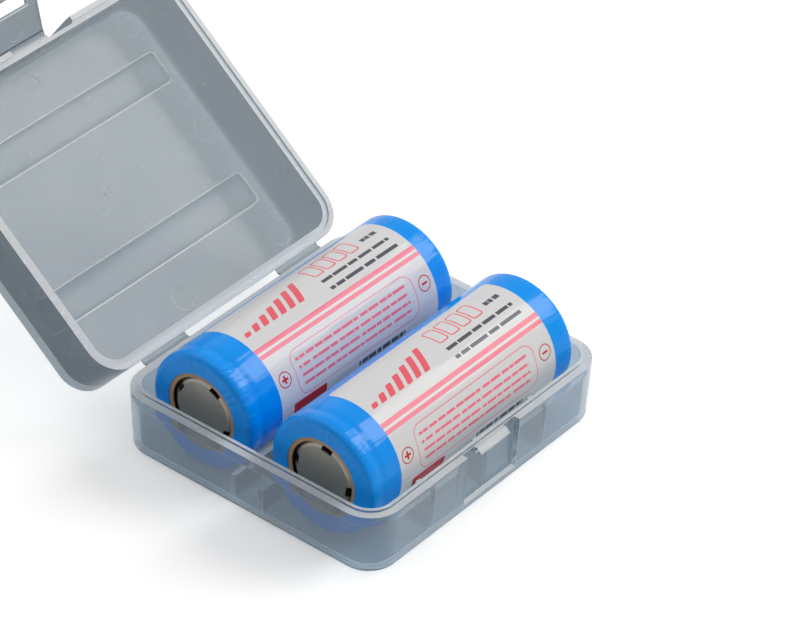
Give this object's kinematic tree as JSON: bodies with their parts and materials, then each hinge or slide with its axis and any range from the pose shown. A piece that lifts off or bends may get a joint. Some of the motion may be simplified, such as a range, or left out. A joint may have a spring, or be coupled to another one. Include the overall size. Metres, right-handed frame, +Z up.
{
  "type": "battery storage case",
  "caption": "Hinged translucent plastic battery case with a living-hinge lid and a snap latch flap, holding large round cells side by side.",
  "frame": {"origin": "the middle of the tray's outline, on its flat underside", "axes": "+X along the cells, from their (+) ends to their (-) ends; +Y from the latch side to the hinge side; +Z up, out of the open tray"},
  "size_m": [0.075, 0.1337, 0.066],
  "materials": {
    "case_plastic": "milky translucent polypropylene, satin outside, glossier at the rims",
    "web_plastic": "the same plastic drawn thin, with a paler stress line along the crease",
    "sleeve_film": "glossy blue shrink film with a pale printed band and red stripes",
    "can_steel": "plain nickel-plated steel",
    "cap_steel": "dull grey nickel-plated steel with fine contact scratches",
    "fibre": "tan pressed-paper washer, matt",
    "gasket_plastic": "dark nylon",
    "aluminium_foil": "thin stamped aluminium",
    "electrode_foil": "wound coated metal foils with their separator, dark grey",
    "insulator": "thin white plastic disc",
    "nickel": "thin nickel strip"
  },
  "bodies": {
    "tray": {"tray": "case_plastic", "hinge_leaves_tray": "web_plastic"},
    "lid": {"lid": "case_plastic", "hinge_leaves_lid": "web_plastic", "latch_web_lid": "web_plastic"},
    "flap": {"latch_flap": "case_plastic", "latch_web_flap": "web_plastic"},
    "cell1": {"cell1_sleeve": "sleeve_film", "cell1_can": "can_steel", "cell1_washer": "fibre", "cell1_cap": "cap_steel", "cell1_gasket": "gasket_plastic", "cell1_vent_disc": "aluminium_foil", "cell1_winding": "electrode_foil", "cell1_top_disc": "insulator", "cell1_bottom_disc": "insulator", "cell1_plus_tab": "aluminium_foil", "cell1_minus_tab": "nickel"},
    "cell2": {"cell2_sleeve": "sleeve_film", "cell2_can": "can_steel", "cell2_washer": "fibre", "cell2_cap": "cap_steel", "cell2_gasket": "gasket_plastic", "cell2_vent_disc": "aluminium_foil", "cell2_winding": "electrode_foil", "cell2_top_disc": "insulator", "cell2_bottom_disc": "insulator", "cell2_plus_tab": "aluminium_foil", "cell2_minus_tab": "nickel"}
  },
  "joints": [
    {"name": "lid_hinge", "type": "hinge", "parent": "tray", "child": "lid", "pos_m": [0, 0.0348, 0.015], "axis": [-1, 0, 0], "range_deg": [-141, 37]},
    {"name": "latch_hinge", "type": "hinge", "parent": "lid", "child": "flap", "pos_m": [0, 0.09488, 0.05156], "axis": [-1, 0, 0], "range_deg": [-58, 52]},
    {"name": "cell1_roll", "type": "hinge", "parent": "tray", "child": "cell1", "pos_m": [0, -0.01565, 0.01475], "axis": [1, 0, 0], "continuous": true},
    {"name": "cell2_roll", "type": "hinge", "parent": "tray", "child": "cell2", "pos_m": [0, 0.01565, 0.01475], "axis": [1, 0, 0], "continuous": true}
  ]
}
